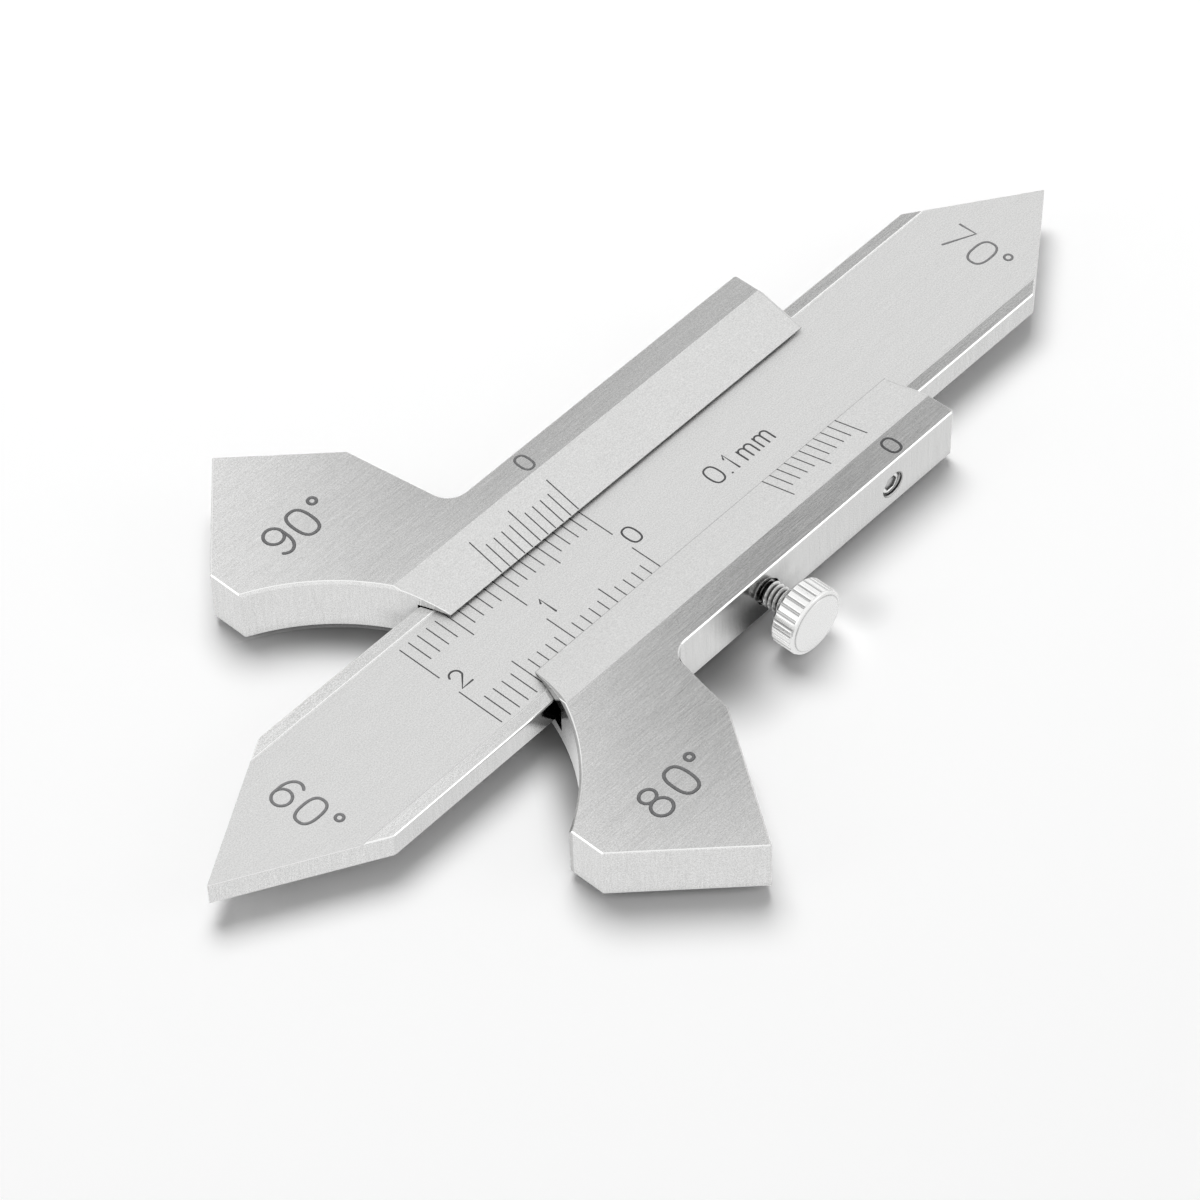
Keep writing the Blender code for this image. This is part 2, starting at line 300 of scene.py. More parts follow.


# ground faces with belt lines along X, upright grinding marks on the edges, a satin part in between, a
# painted highlight on the top chamfers and painted shade on the walls
def groundSteel(name, satinMask, topHeight, highlightPlaces, highlightDepth, shadeOf):
    material, tree, shader = newFinish(name, groundFinish["light"], 0.3)
    place = addNode(tree, "ShaderNodeTexCoord").outputs["Object"]
    normal = splitOf(tree, addNode(tree, "ShaderNodeNewGeometry").outputs["True Normal"])
    upright = mathOf(tree, "ABSOLUTE", normal["Z"])
    isFace = ranged(tree, upright, 0.0, 1.0, 0.74, 0.90)

    length, width = groundFinish["faceStreak"]
    crossing = groundFinish["crossing"]
    lines = streaks(tree, place, length, width, crossing)
    arcs = streaks(tree, place, length * 1.6, width * 1.4, -crossing)
    length, width = groundFinish["sideStreak"]
    sideFine = streaks(tree, place, length, width, 2.0, along="Z")
    sideBroad = streaks(tree, place, length * 2, width * 4, -1.5, along="Z")
    pattern = mixed(tree, isFace, mixed(tree, 0.45, sideFine, sideBroad), mixed(tree, 0.45, lines, arcs))

    fine = speckle(tree, place, groundFinish["grain"])
    coarse = speckle(tree, place, satinFinish["grain"])
    groundMixed = mixed(tree, mathOf(tree, "MULTIPLY_ADD", isFace, 0.12, 0.32), fine, pattern)
    satinMixed = mixed(tree, 0.7, pattern, coarse)
    satin = satinMask(tree, place, upright)
    contrast = ranged(tree, isFace, groundFinish["sideContrast"], 1.0, 0.0, 1.0)
    fromMiddle = mathOf(tree, "SUBTRACT", ranged(tree, groundMixed, 0.0, 1.0), 0.5)
    groundShare = mathOf(tree, "MULTIPLY_ADD", fromMiddle, contrast, 0.5)
    groundTone = toneMix(tree, groundShare, groundFinish["dark"], groundFinish["light"])
    satinTone = toneMix(tree, ranged(tree, satinMixed, 0.0, 1.0), satinFinish["dark"], satinFinish["light"])

    # painted highlight: chamfers just below the top take a bright tone, which the shade below leaves alone
    depth = mathOf(tree, "SUBTRACT", topHeight(tree, place), splitOf(tree, place)["Z"])
    paintedHighlight = product(tree, below(tree, depth, highlightDepth * mm), mathOf(tree, "COMPARE", upright, 0.65, 0.29),
                     highlightPlaces(tree, place), ranged(tree, normal["X"], 1.0, 0.0, 0.02, 0.2))
    highlightTone = addNode(tree, "ShaderNodeMix", {"Factor": paintedHighlight, 6: groundTone}, data_type="RGBA")
    highlightTone.inputs[7].default_value = (*groundFinish["edge"], 1)
    tones = {"Factor": satin, 6: highlightTone.outputs[2], 7: satinTone}
    colour = addNode(tree, "ShaderNodeMix", tones, data_type="RGBA").outputs[2]

    # painted shade: walls darken where other parts come near, and walls that face towards -y darken a little
    # more
    reach = {"Distance": groundFinish["reachOfShade"] * mm}
    openness = addNode(tree, "ShaderNodeAmbientOcclusion", reach, samples=4).outputs["AO"]
    turnedAway = product(tree, ranged(tree, normal["Y"], 1.0, 0.0, -0.9, -0.3),
                         ranged(tree, normal["X"], 0.0, 1.0, -0.4, -0.1))
    side = product(tree, softStep(tree, openness, 0.15, 0.74, 0.30, 1.0),
                   mixed(tree, turnedAway, 1.0, groundFinish["paintedShadeTurnedAway"]))
    shade = product(tree, mixed(tree, isFace, side, 1.0), shadeOf(tree, place, upright))
    tree.links.new(scaled(tree, colour, mixed(tree, paintedHighlight, shade, 1.0)), shader.inputs["Base Color"])

    rough = mixed(tree, satin, ranged(tree, pattern, *groundFinish["roughness"]),
                  ranged(tree, pattern, *satinFinish["roughness"]))
    tree.links.new(rough, shader.inputs["Roughness"])
    relief = mixed(tree, satin, groundFinish["bumpHeight"] * mm, satinFinish["bumpHeight"] * mm)
    bump = addNode(tree, "ShaderNodeBump", {"Height": pattern, "Distance": relief, "Strength": 1.0})
    tree.links.new(bump.outputs[0], shader.inputs["Normal"])
    return material


# the lips are satin: the only faces that slope, clear of the small chamfers
def lipMask(tree, place, upright):
    return mathOf(tree, "COMPARE", upright, cos(radians(plateForm["lipSlope"])), 0.012)


# the scale face is satin: the face that lies below the rails, with the lower half of its step
def scaleFaceMask(tree, place, upright):
    at = splitOf(tree, place)
    across = mathOf(tree, "ABSOLUTE", at["Y"])
    level = ranged(tree, across, 0.9, 0.6, *inMm(bladeForm["stepStart"]))
    return product(tree, below(tree, across, bladeForm["satinHalf"] * mm),
                   above(tree, at["Z"], bladeForm["satinFrom"] * mm), above(tree, upright, level))


# how high the upper side of the body lies at each place: level outside, sloped on the lips
def bodyTop(tree, place):
    across = splitOf(tree, place)["Y"]
    fromEdge = mathOf(tree, "MAXIMUM", mathOf(tree, "SUBTRACT", across, plateForm["leftLip"] * mm),
                      mathOf(tree, "SUBTRACT", plateForm["rightLip"] * mm, across))
    rise = tan(radians(plateForm["lipSlope"]))
    onLip = mathOf(tree, "MULTIPLY_ADD", fromEdge, rise, plateForm["lipLow"] * mm)
    return mathOf(tree, "MINIMUM", onLip, plateForm["top"] * mm)


# the painted edge highlight leaves out the lips' front edges
def bodyHighlightPlaces(tree, place):
    return above(tree, mathOf(tree, "ABSOLUTE", splitOf(tree, place)["Y"]), plateForm["lipFrontReach"] * mm)


# bands of painted shade and painted highlight on the plate, in millimetres, with the share of light that each
# keeps
paintedPlateBands = {
    "leftFront": {"halfWidth": 0.03, "tone": 0.60},
    "rightFront": {"beyondLip": 0.04, "halfWidth": 0.045, "tone": 0.72},
    "reliefWall": {"radius": 20.0, "heights": (5.58, 5.64), "across": (-18.5, -9.0), "tones": (0.76, 0.40)},
    "leftRim": {"radius": 19.79, "tone": 1.30},
    "rightRim": {"radii": (19.98, 19.76), "across": (-9.05, -4.4), "from": -4.3, "tone": 0.62},
    "farEnd": {"x": 23.48, "halfWidth": 0.05, "across": (-9.0, -6.0), "tones": (1.0, 0.86)},
}


def near(tree, value, middle, halfWidth):
    return mathOf(tree, "COMPARE", value, middle * mm, halfWidth * mm)


# painted shade on the lips' thin front edges and on the relief's right wall, a painted highlight on the left
# lip's rim, painted shade on the right rim and at the lips' far end
def bodyShade(tree, place, upright):
    at = splitOf(tree, place)
    across = at["Y"]
    outside = plateForm["lipFrontReach"] * mm
    left, right = paintedPlateBands["leftFront"], paintedPlateBands["rightFront"]
    leftFront = product(tree, near(tree, across, plateForm["leftLip"], left["halfWidth"]),
                        below(tree, upright, 0.5))
    rightFront = near(tree, across, plateForm["rightLip"] - right["beyondLip"], right["halfWidth"])
    lips = mixed(tree, leftFront, mixed(tree, rightFront, 1.0, right["tone"]), left["tone"])

    fromRelief = distanceTo(tree, vectorOf(tree, at["X"], across, 0.0), plateForm["reliefX"], 0)
    band = paintedPlateBands["reliefWall"]
    onWall = product(tree, below(tree, fromRelief, band["radius"] * mm), below(tree, upright, 0.9),
                     below(tree, across, -outside), softStep(tree, at["Z"], *inMm(band["heights"]), 1.0, 0.0))
    wall = mixed(tree, onWall, 1.0, softStep(tree, across, *inMm(band["across"]), *band["tones"]))

    onSlope = product(tree, above(tree, upright, 0.94), below(tree, upright, 0.99))
    band = paintedPlateBands["leftRim"]
    leftRim = product(tree, onSlope, below(tree, fromRelief, band["radius"] * mm),
                      above(tree, across, outside))
    rim = mixed(tree, leftRim, 1.0, band["tone"])
    band = paintedPlateBands["rightRim"]
    reach = ranged(tree, across, *inMm(band["radii"]), *inMm(band["across"]))
    rightRim = product(tree, onSlope, below(tree, fromRelief, reach), below(tree, across, band["from"] * mm))
    rim = mixed(tree, rightRim, rim, band["tone"])
    band = paintedPlateBands["farEnd"]
    farEnd = product(tree, onSlope, near(tree, at["X"], band["x"], band["halfWidth"]))
    rim = mixed(tree, farEnd, rim, softStep(tree, across, *inMm(band["across"]), *band["tones"]))
    return product(tree, lips, wall, rim)


# the rails lie above the scale face, and the lower half of the step between them is satin
def bladeTop(tree, place):
    across = mathOf(tree, "ABSOLUTE", splitOf(tree, place)["Y"])
    heights = inMm((bladeForm["scaleFace"], bladeForm["rail"]))
    return ranged(tree, across, *heights, *inMm((bladeForm["step"], bladeForm["step"] + 0.01)))


# the painted edge highlight leaves out the step beside the scale face
def bladeHighlightPlaces(tree, place):
    across = mathOf(tree, "ABSOLUTE", splitOf(tree, place)["Y"])
    fromStep = mathOf(tree, "ABSOLUTE", mathOf(tree, "SUBTRACT", across, (bladeForm["step"] + 0.01) * mm))
    return above(tree, fromStep, 0.06 * mm)


def plainShade(tree, place, upright):
    return 1.0


gibFinish = {
    "dark": (0.42, 0.42, 0.42),
    "light": (0.55, 0.55, 0.55),
    "roughness": (0.3, 0.42),
    "streak": (8.0, 0.12),
    "bumpHeight": 0.0006,
}


def drawnSteel(name, spec):
    material, tree, shader = newFinish(name, spec["light"], spec["roughness"][0])
    place = addNode(tree, "ShaderNodeTexCoord").outputs["Object"]
    lines = streaks(tree, place, *spec["streak"], 1.0)
    tone = toneMix(tree, ranged(tree, lines, 0.0, 1.0), spec["dark"], spec["light"])
    tree.links.new(tone, shader.inputs["Base Color"])
    tree.links.new(ranged(tree, lines, *spec["roughness"]), shader.inputs["Roughness"])
    height = {"Height": lines, "Distance": spec["bumpHeight"] * mm, "Strength": 1.0}
    tree.links.new(addNode(tree, "ShaderNodeBump", height).outputs[0], shader.inputs["Normal"])
    return material


# a share that changes with the radius: stops are (radius in millimetres, share)
def shareByRadius(tree, radius, stops, reach=3.2):
    node = addNode(tree, "ShaderNodeValToRGB", {"Fac": mathOf(tree, "DIVIDE", radius, reach * mm)})
    ramp = node.color_ramp
    while len(ramp.elements) < len(stops):
        ramp.elements.new(1.0)
    for element, (place, share) in zip(ramp.elements, stops):
        element.position = place / reach
        element.color = (share, share, share, 1)
    return node.outputs["Color"]


# turned steel with painted shade in its grooves: each zone along the screw's axis has its own stops
def turnedSteel(name, spec, zones, dark, light, roughness, grain):
    material, tree, shader = newFinish(name, light, roughness[0])
    place = addNode(tree, "ShaderNodeTexCoord").outputs["Object"]
    at = splitOf(tree, place)
    sideways = mathOf(tree, "POWER", mathOf(tree, "SUBTRACT", at["X"], spec["x"] * mm), 2.0)
    upward = mathOf(tree, "POWER", mathOf(tree, "SUBTRACT", at["Z"], spec["z"] * mm), 2.0)
    radius = mathOf(tree, "SQRT", mathOf(tree, "ADD", sideways, upward))
    share = shareByRadius(tree, radius, zones[0]["stops"])
    for zone in zones[1:]:
        within = below(tree, at["Y"], zone["before"] * mm)
        share = mixed(tree, within, share, shareByRadius(tree, radius, zone["stops"]))
    spots = speckle(tree, place, grain)
    tone = product(tree, share, ranged(tree, spots, 0.90, 1.0))
    tree.links.new(toneMix(tree, tone, dark, light), shader.inputs["Base Color"])
    tree.links.new(ranged(tree, spots, *roughness), shader.inputs["Roughness"])
    return material


# etched marks: a dull dark grey that is a little uneven along each line
def etchedMark(name, dark, light):
    material, tree, shader = newFinish(name, dark, 0.6, metallic=0.0)
    shader.inputs["Specular IOR Level"].default_value = 0.3
    place = addNode(tree, "ShaderNodeTexCoord").outputs["Object"]
    noise = {"Vector": place, "Scale": 5500.0, "Detail": 2.0}
    grain = addNode(tree, "ShaderNodeTexNoise", noise).outputs["Fac"]
    tree.links.new(toneMix(tree, ranged(tree, grain, 0.0, 1.0), dark, light), shader.inputs["Base Color"])
    tree.links.new(ranged(tree, grain, 0.5, 0.75), shader.inputs["Roughness"])
    return material


bodySteel = groundSteel("bodySteel", lipMask, bodyTop, bodyHighlightPlaces, 0.05, bodyShade)
bladeSteel = groundSteel("bladeSteel", scaleFaceMask, bladeTop, bladeHighlightPlaces, 0.10, plainShade)
gibSteel = drawnSteel("gibSteel", gibFinish)
scaleMark = etchedMark("scaleMark", (0.060, 0.060, 0.062), (0.105, 0.105, 0.108))
figureMark = etchedMark("figureMark", (0.13, 0.13, 0.132), (0.19, 0.19, 0.193))
faintMark = etchedMark("faintMark", (0.185, 0.185, 0.187), (0.255, 0.255, 0.258))
print("finishes made")


body = finishedCopy("slider_body", "sliderPlate", 0.06)
body.data.materials.append(bodySteel)
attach(body, "slider")

blade = finishedCopy("gauge_bar", "graduatedBlade", 0.05)
blade.data.materials.append(bladeSteel)
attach(blade, "bar")

gib = finishedCopy("gib_strip", "gibStrip", 0.04)
gib.data.materials.append(gibSteel)
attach(gib, "slider")
print("body, bar and gib finished")


markHeight = 0.006  # each engraved mark is a thin band, mostly below the steel's surface
markProud = 0.004
markLift = markProud - markHeight / 2

# every row starts at its zero line; lengths are for the plain, fifth and tenth lines
barScale = {
    "zero": -3.74,
    "pitch": -1.0,
    "lines": 21,
    "width": 0.11,
    "left": {"from": 5.35, "plain": -2.50, "fifth": -3.30, "tenth": -4.35},
    "right": {"from": -5.68, "plain": 2.85, "fifth": 3.68, "tenth": 4.60},
}

vernierScale = {
    "pitch": -0.9,
    "lines": 11,
    "width": 0.11,
    "left": {"zero": -3.74, "from": 4.66, "plain": 2.66, "fifth": 3.66, "tenth": 3.66},
    "right": {"zero": 17.26, "from": -4.36, "plain": -2.60, "fifth": -3.58, "tenth": -3.58},
}


def tickRowTree():
    tree, ids = newTree("tickRow", [
        ("Lines", "NodeSocketInt"), ("Pitch", "NodeSocketFloat"), ("Line Width", "NodeSocketFloat"),
        ("Plain Length", "NodeSocketFloat"), ("Fifth Length", "NodeSocketFloat"),
        ("Tenth Length", "NodeSocketFloat"), ("Depth", "NodeSocketFloat"), ("Start", "NodeSocketVector"),
        ("Tilt", "NodeSocketFloat"), ("Finish", "NodeSocketMaterial"),
    ])
    given = addNode(tree, "NodeGroupInput").outputs
    result = addNode(tree, "NodeGroupOutput")
    spacing = {"Count": given["Lines"], "Offset": vectorOf(tree, given["Pitch"], 0.0, 0.0)}
    line = addNode(tree, "GeometryNodeMeshLine", spacing, mode="OFFSET", count_mode="TOTAL")
    index = addNode(tree, "GeometryNodeInputIndex").outputs[0]

    def longerEvery(step, plain, longer):
        rest = {"A": mathOf(tree, "MODULO", index, step), "B": 0.0, "Epsilon": 0.1}
        onStep = addNode(tree, "FunctionNodeCompare", rest, data_type="FLOAT", operation="EQUAL").outputs[0]
        lengths = {"Switch": onStep, "False": plain, "True": longer}
        return addNode(tree, "GeometryNodeSwitch", lengths, input_type="FLOAT").outputs[0]

    fifths = longerEvery(5.0, given["Plain Length"], given["Fifth Length"])
    reach = longerEvery(10.0, fifths, given["Tenth Length"])
    lineSize = vectorOf(tree, given["Line Width"], 1.0, given["Depth"])
    unit = addNode(tree, "GeometryNodeMeshCube", {"Size": lineSize})
    shift = {"Geometry": unit.outputs["Mesh"], "Translation": (0, 0.5, 0)}
    fromEnd = addNode(tree, "GeometryNodeTransform", shift)
    stretch = vectorOf(tree, 1.0, reach, 1.0)
    spread = {"Points": line.outputs[0], "Instance": fromEnd.outputs[0], "Scale": stretch}
    rows = addNode(tree, "GeometryNodeInstanceOnPoints", spread)
    turn = vectorOf(tree, given["Tilt"], 0.0, 0.0)
    pose = {"Geometry": rows.outputs[0], "Translation": given["Start"], "Rotation": turn}
    laid = addNode(tree, "GeometryNodeTransform", pose)
    finishTree(tree, laid.outputs[0], given["Finish"], result)
    return tree, ids


tickTree, tickIds = tickRowTree()


def tickRow(name, scale, side, start, tilt):
    return grown(name, tickTree, tickIds, {
        "Lines": scale["lines"], "Pitch": scale["pitch"] * mm, "Line Width": scale["width"] * mm,
        "Plain Length": side["plain"] * mm, "Fifth Length": side["fifth"] * mm,
        "Tenth Length": side["tenth"] * mm, "Depth": markHeight * mm, "Start": start, "Tilt": tilt,
        "Finish": scaleMark,
    })


# a row on a lip starts near the slope's lower edge and climbs with it
def vernierRow(name, key, turn):
    side = vernierScale[key]
    slope = radians(plateForm["lipSlope"])
    up = (abs(side["from"]) - abs(plateForm[key + "Lip"])) * tan(slope)
    place = mmVector(side["zero"], side["from"] - turn * markLift * sin(slope),
                     plateForm["lipLow"] + up + markLift * cos(slope))
    return tickRow(name, vernierScale, side, place, turn * slope)


def barRow(name, key):
    place = mmVector(barScale["zero"], barScale[key]["from"], bladeForm["scaleFace"] + markLift)
    return tickRow(name, barScale, barScale[key], place, 0.0)


barTicks = joined("barScale", [barRow("barLeftTicks", "left"), barRow("barRightTicks", "right")])
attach(barTicks, "bar")

lipRows = [vernierRow("leftVernier", "left", 1), vernierRow("rightVernier", "right", -1)]
vernierTicks = joined("sliderVernier", lipRows)
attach(vernierTicks, "slider")
print("graduations cut")


def arc(cx, cy, rx, ry, start, end, steps=20):
    points = []
    for step in range(steps + 1):
        angle = radians(start + (end - start) * step / steps)
        points.append((cx + rx * cos(angle), cy + ry * sin(angle)))
    return points


def ring(cx, cy, rx, ry, steps=40):
    return arc(cx, cy, rx, ry, 90, 450, steps)


# a nought: between an ellipse and a rectangle with round corners
def nought(width, squareness=2.6, steps=44):
    points = []
    for step in range(steps + 1):
        angle = radians(90 + 360 * step / steps)
        across = abs(cos(angle)) ** (2 / squareness) * (1 if cos(angle) >= 0 else -1)
        up = abs(sin(angle)) ** (2 / squareness) * (1 if sin(angle) >= 0 else -1)
        points.append((width / 2 * (1 + across), 0.5 * (1 + up)))
    return points


def nine(width=0.57, bowl=0.285):
    tail = [(width, 1 - bowl - 0.02), (width, 0.46)]
    hook = arc(width * 0.42, 0.46, width * 0.58, 0.46, 0, -128, 18)
    return [ring(bowl, 1 - bowl, bowl, bowl), tail + hook[1:]]


def turnedOver(strokes, width, height=1.0):
    return [[(width - x, height - y) for x, y in stroke] for stroke in strokes]


# strokes of each figure in shares of its height, and the width it takes; "o" is the degree sign
figureShapes = {
    "0": ([nought(0.62)], 0.62),
    "1": ([[(0.0, 0.78), (0.14, 1.0), (0.14, 0.0)]], 0.14),
    "2": ([arc(0.31, 0.70, 0.30, 0.30, 165, -28, 18) + [(0.0, 0.0), (0.64, 0.0)]], 0.64),
    "6": (turnedOver(nine(0.60, 0.30), 0.60), 0.60),
    "7": ([[(0.0, 1.0), (0.61, 1.0), (0.15, 0.0)]], 0.61),
    "8": ([ring(0.31, 0.785, 0.25, 0.215), ring(0.31, 0.285, 0.31, 0.285)], 0.62),
    "9": (nine(), 0.57),
    "o": ([ring(0.12, 0.86, 0.12, 0.12, 24)], 0.24),
    ".": ([[(0.0, 0.0), (0.02, 0.0)]], 0.02),
    "m": ([[(0.0, 0.66), (0.0, 0.0)],
           [(0.0, 0.40)] + arc(0.18, 0.46, 0.18, 0.20, 180, 0, 14) + [(0.36, 0.0)],
           [(0.36, 0.40)] + arc(0.54, 0.46, 0.18, 0.20, 180, 0, 14) + [(0.72, 0.0)]], 0.72),
}

# where each mark starts, its height and stroke in millimetres, and how far its reading direction is turned
figures = {
    "slider": {
        "leftEar": {"text": "90o", "start": (-23.65, 17.95), "height": 3.0, "stroke": 0.30, "gap": 0.28,
                    "finish": figureMark},
        "rightEar": {"text": "80o", "start": (-23.6, -22.2), "height": 2.95, "stroke": 0.30, "gap": 0.36,
                     "lastGap": 0.27, "finish": figureMark},
        "leftZero": {"text": "0", "start": (-4.28, 9.72), "height": 1.75, "stroke": 0.22, "wide": 1.02,
                     "finish": figureMark},
        "rightZero": {"text": "0", "start": (16.66, -11.2), "height": 1.70, "stroke": 0.22, "wide": 1.13,
                      "finish": scaleMark},
    },
    "bar": {
        "frontPoint": {"text": "60o", "start": (-41.1, 2.62), "height": 2.75, "stroke": 0.27, "gap": 0.33,
                       "turn": -90, "finish": faintMark},
        "rearPoint": {"text": "70o", "start": (39.1, 2.7), "height": 2.87, "stroke": 0.22, "gap": 0.33,
                      "lastGap": 0.26, "turn": -90, "finish": faintMark},
        "scaleZero": {"text": "0", "start": (-3.28, -1.04), "height": 1.8, "stroke": 0.175,
                      "finish": scaleMark},
        "scaleOne": {"text": "1", "start": (-12.9, -1.09), "height": 1.83, "stroke": 0.175,
                     "finish": scaleMark},
        "scaleTwo": {"text": "2", "start": (-23.3, -1.05), "height": 1.8, "stroke": 0.175,
                     "finish": scaleMark},
        "reading": {"text": "0.1 mm", "start": (5.9, -1.75), "height": 1.95, "stroke": 0.17, "gap": 0.28,
                    "finish": scaleMark},
    },
}

# the body that carries the figures: how high its surface is, and its material slot
carriers = {
    "slider": {"surface": plateForm["top"], "slot": "body_steel"},
    "bar": {"surface": bladeForm["scaleFace"], "slot": "bar_steel"},
}


def strokeTree():
    tree, ids = newTree("engravedStroke", [
        ("Strokes", "NodeSocketGeometry"), ("Stroke Width", "NodeSocketFloat"), ("Depth", "NodeSocketFloat"),
        ("Finish", "NodeSocketMaterial"),
    ])
    given = addNode(tree, "NodeGroupInput").outputs
    result = addNode(tree, "NodeGroupOutput")
    path = addNode(tree, "GeometryNodeMeshToCurve", {"Mesh": given["Strokes"]})
    upright = addNode(tree, "GeometryNodeSetCurveNormal", {"Curve": path.outputs[0]}, mode="Z_UP")
    outline = {"Width": given["Stroke Width"], "Height": given["Depth"]}
    section = addNode(tree, "GeometryNodeCurvePrimitiveQuadrilateral", outline)
    swept = {"Curve": upright.outputs[0], "Profile Curve": section.outputs[0], "Fill Caps": True}
    band = addNode(tree, "GeometryNodeCurveToMesh", swept)
    ends = addNode(tree, "GeometryNodeCurveEndpointSelection", {"Start Size": 1, "End Size": 1})
    roundEnd = {"Vertices": 16, "Radius": product(tree, given["Stroke Width"], 0.5),
                "Depth": product(tree, given["Depth"], 0.9)}
    disc = addNode(tree, "GeometryNodeMeshCylinder", roundEnd)
    atEnds = {"Points": path.outputs[0], "Selection": ends.outputs[0], "Instance": disc.outputs["Mesh"]}
    caps = addNode(tree, "GeometryNodeInstanceOnPoints", atEnds)
    whole = addNode(tree, "GeometryNodeJoinGeometry")
    tree.links.new(band.outputs[0], whole.inputs[0])
    tree.links.new(caps.outputs[0], whole.inputs[0])
    finishTree(tree, whole.outputs[0], given["Finish"], result)
    return tree, ids


strokeRule, strokeIds = strokeTree()


# strokes that cross lie at slightly different levels, so that their faces don't fight
def figureMesh(name, mark, surface):
    vertices, edges = [], []
    turn = Matrix.Rotation(radians(mark.get("turn", 0)), 2)
    origin = Vector(mark["start"])
    pen = 0.0
    level = 0
    for place, letter in enumerate(mark["text"]):
        if letter == " ":
            pen += 0.25
            continue
        strokes, width = figureShapes[letter]
        for stroke in strokes:
            closed = (Vector(stroke[0]) - Vector(stroke[-1])).length < 0.001
            points = stroke[:-1] if closed else stroke
            first = len(vertices)
            z = surface + markLift + level * 0.0009
            for x, y in points:
                across = pen + x * mark.get("wide", 1.0)
                flat = origin + turn @ Vector((across * mark["height"], y * mark["height"]))
                vertices.append(mmVector(flat.x, flat.y, z))
            edges += [(first + step, first + step + 1) for step in range(len(points) - 1)]
            if closed:
                edges.append((first + len(points) - 1, first))
            level = (level + 1) % 3
        beforeLast = place == len(mark["text"]) - 2
        gap = mark.get("gap", 0.0)
        pen += width + (mark.get("lastGap", gap) if beforeLast else gap)
    path = bpy.data.meshes.new(name + "Path")
    path.from_pydata(vertices, edges, [])
    return grown(name, strokeRule, strokeIds, {
        "Stroke Width": mark["stroke"] * mm, "Depth": markHeight * mm, "Finish": mark["finish"],
    }, path)


for bodyName, marks in figures.items():
    carrier = carriers[bodyName]
    for key, mark in marks.items():
        figure = addObject(key + "Figure", figureMesh(key + "Figure", mark, carrier["surface"]))
        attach(figure, bodyName)
print("figures cut")


# a turned form as a rule: the host's vertices are the profile (radius, place along the axis, zone)
def turnedForm(name, sockets, radiusRule):
    tree, ids = newTree(name, [
        ("Profile", "NodeSocketGeometry"), ("Steps", "NodeSocketInt"), ("Centre", "NodeSocketVector"),
        ("Finish", "NodeSocketMaterial"),
    ] + sockets)
    given = addNode(tree, "NodeGroupInput").outputs
    result = addNode(tree, "NodeGroupOutput")
    counted = addNode(tree, "GeometryNodeAttributeDomainSize", {"Geometry": given["Profile"]},
                      component="MESH")
    size = counted.outputs["Point Count"]
    columns = mathOf(tree, "ADD", given["Steps"], 1.0)
    net = {"Size X": 1.0, "Size Y": 1.0, "Vertices X": columns, "Vertices Y": size}
    grid = addNode(tree, "GeometryNodeMeshGrid", net)
    index = addNode(tree, "GeometryNodeInputIndex").outputs[0]
    column = mathOf(tree, "FLOOR", mathOf(tree, "DIVIDE", mathOf(tree, "ADD", index, 0.5), size))
    row = mathOf(tree, "SUBTRACT", index, product(tree, column, size))
    step = mathOf(tree, "DIVIDE", mathOf(tree, "MODULO", column, given["Steps"]), given["Steps"])
    turn = product(tree, step, 2 * pi)
    profilePoint = {"Geometry": given["Profile"], "Index": row}
    sample = addNode(tree, "GeometryNodeSampleIndex", profilePoint, data_type="FLOAT_VECTOR")
    tree.links.new(addNode(tree, "GeometryNodeInputPosition").outputs[0], sample.inputs["Value"])
    profile = splitOf(tree, sample.outputs[0])
    radius = radiusRule(tree, given, profile["X"], profile["Y"], profile["Z"], turn)
    spot = vectorOf(tree, product(tree, radius, mathOf(tree, "COSINE", turn)), profile["Y"],
                    product(tree, radius, mathOf(tree, "SINE", turn)))
    moved = addNode(tree, "GeometryNodeSetPosition", {"Geometry": grid.outputs[0], "Position": spot})
    weld = {"Geometry": moved.outputs[0], "Distance": 0.000001}
    welded = addNode(tree, "GeometryNodeMergeByDistance", weld)
    shift = {"Geometry": welded.outputs[0], "Translation": given["Centre"]}
    centred = addNode(tree, "GeometryNodeTransform", shift)
    finishTree(tree, centred.outputs[0], given["Finish"], result)
    return tree, ids


# broad lands with a narrow groove between each pair; a zone above nought keeps the blank round
def fluteRule(tree, given, radius, along, zone, turn):
    turns = product(tree, mathOf(tree, "DIVIDE", turn, 2 * pi), given["Flutes"])
    share = mathOf(tree, "FRACT", mathOf(tree, "ADD", turns, 0.25))
    fromGroove = mathOf(tree, "ABSOLUTE", mathOf(tree, "SUBTRACT", share, 0.5))
    halfRoot = product(tree, given["Root Share"], 0.5)
    halfLand = product(tree, mathOf(tree, "SUBTRACT", 1.0, given["Land Share"]), 0.5)
    ramp = softStep(tree, fromGroove, halfRoot, halfLand)
    cut = product(tree, mathOf(tree, "SUBTRACT", 1.0, ramp), given["Flute Depth"])
    limit = mathOf(tree, "ADD", mathOf(tree, "SUBTRACT", given["Land Radius"], cut), zone)
    return mathOf(tree, "MINIMUM", radius, limit)


# a rounded V thread where the zone is above nought, faded by the zone towards its ends
def threadRule(tree, given, radius, along, zone, turn):
    climb = mathOf(tree, "ADD", mathOf(tree, "DIVIDE", along, given["Pitch"]),
                   mathOf(tree, "DIVIDE", turn, 2 * pi))
    wave = mathOf(tree, "ABSOLUTE", mathOf(tree, "SUBTRACT", mathOf(tree, "FRACT", climb), 0.5))
    ridge = ranged(tree, wave, 1.0, 0.0, 0.06, 0.44)
    height = product(tree, ridge, given["Thread Depth"], product(tree, zone, 1000.0))
    return mathOf(tree, "ADD", radius, height)


